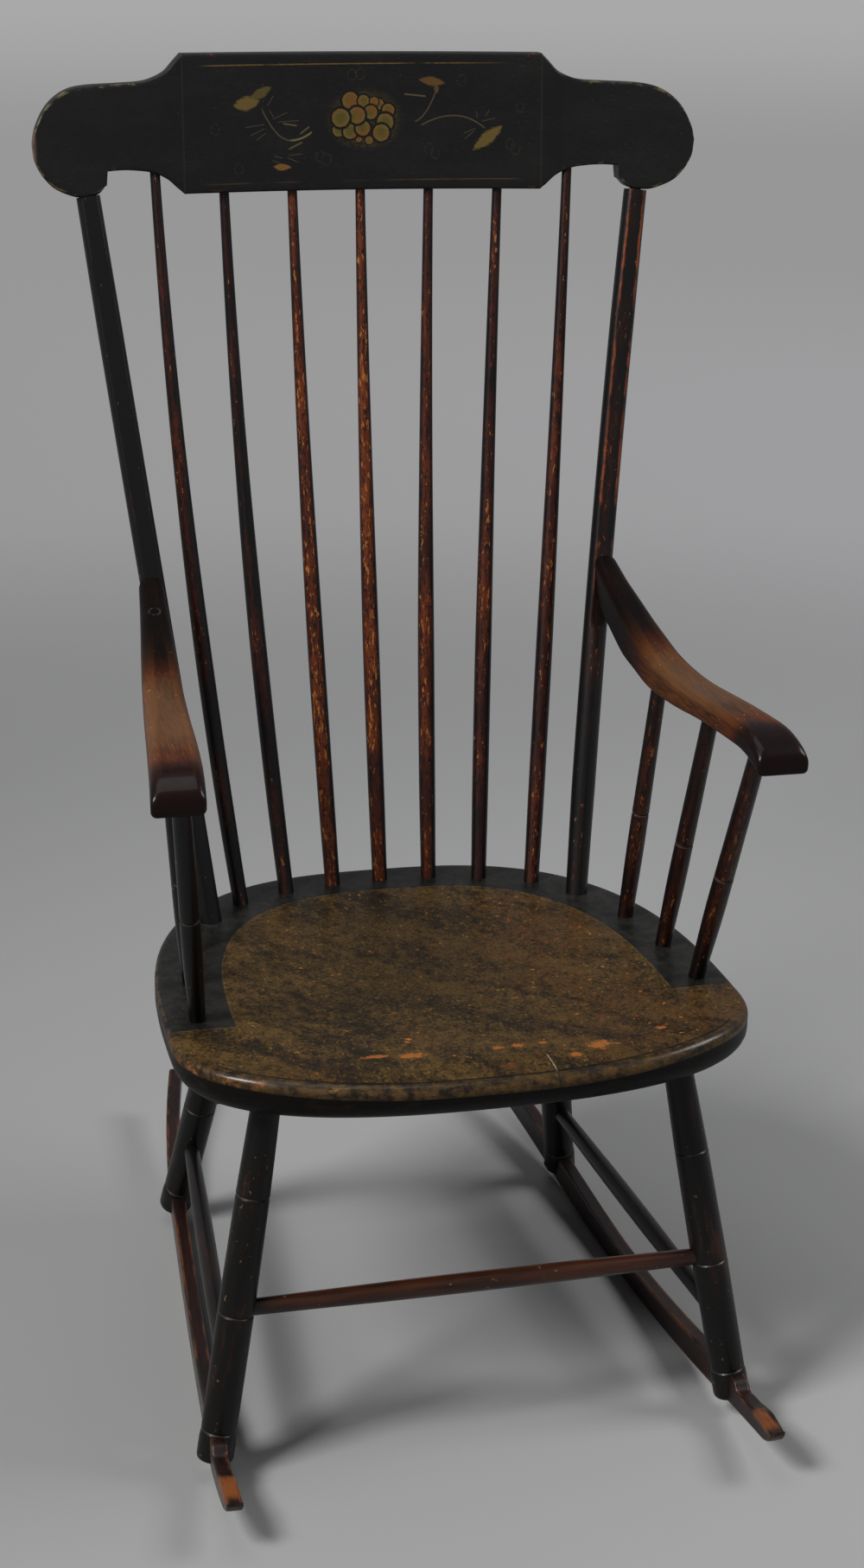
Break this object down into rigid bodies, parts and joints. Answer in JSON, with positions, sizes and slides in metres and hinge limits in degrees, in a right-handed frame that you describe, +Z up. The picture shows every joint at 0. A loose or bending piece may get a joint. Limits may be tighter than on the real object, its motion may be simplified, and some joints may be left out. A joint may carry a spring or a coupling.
{
  "type": "rocking chair",
  "caption": "Spindle-back wooden rocking chair with a broad shaped crest, rolled arms, a plank seat with a rolled front edge, and turned legs slotted over curved rockers.",
  "frame": {"origin": "on the floor, under the middle of the chair's floor space", "axes": "+Z up, +Y towards the back of the chair, +X towards the right as seen from the front"},
  "size_m": [0.62, 0.7985, 1.153],
  "materials": {
    "black_paint": "worn black paint over red-brown, satin",
    "streaked_paint": "black paint streaked with red-orange, satin",
    "worn_mahogany": "dark varnish worn through to tan, glossy",
    "seat_graining": "olive and ochre graining with gold specks, satin",
    "bare_wood": "bare end grain, matt"
  },
  "bodies": {
    "root": {"seat": "seat_graining", "crest_rail": "black_paint", "front_stretcher": "streaked_paint", "back_stretcher": "black_paint", "back_spindle_1": "streaked_paint", "back_spindle_2": "streaked_paint", "back_spindle_3": "streaked_paint", "back_spindle_4": "streaked_paint", "back_spindle_5": "streaked_paint", "back_spindle_6": "streaked_paint", "back_spindle_7": "streaked_paint", "left_back_post": "streaked_paint", "left_arm": "worn_mahogany", "left_arm_front_post": "streaked_paint", "left_arm_spindle_front": "streaked_paint", "left_arm_spindle_rear": "streaked_paint", "left_front_leg": "black_paint", "left_back_leg": "black_paint", "left_side_stretcher": "black_paint", "left_rocker": "black_paint", "left_arm_peg": "bare_wood", "left_front_rocker_peg": "bare_wood", "left_back_rocker_peg": "bare_wood", "left_crest_peg": "bare_wood", "right_back_post": "streaked_paint", "right_arm": "worn_mahogany", "right_arm_front_post": "streaked_paint", "right_arm_spindle_front": "streaked_paint", "right_arm_spindle_rear": "streaked_paint", "right_front_leg": "black_paint", "right_back_leg": "black_paint", "right_side_stretcher": "black_paint", "right_rocker": "black_paint", "right_arm_peg": "bare_wood", "right_front_rocker_peg": "bare_wood", "right_back_rocker_peg": "bare_wood", "right_crest_peg": "bare_wood"}
  },
  "joints": []
}
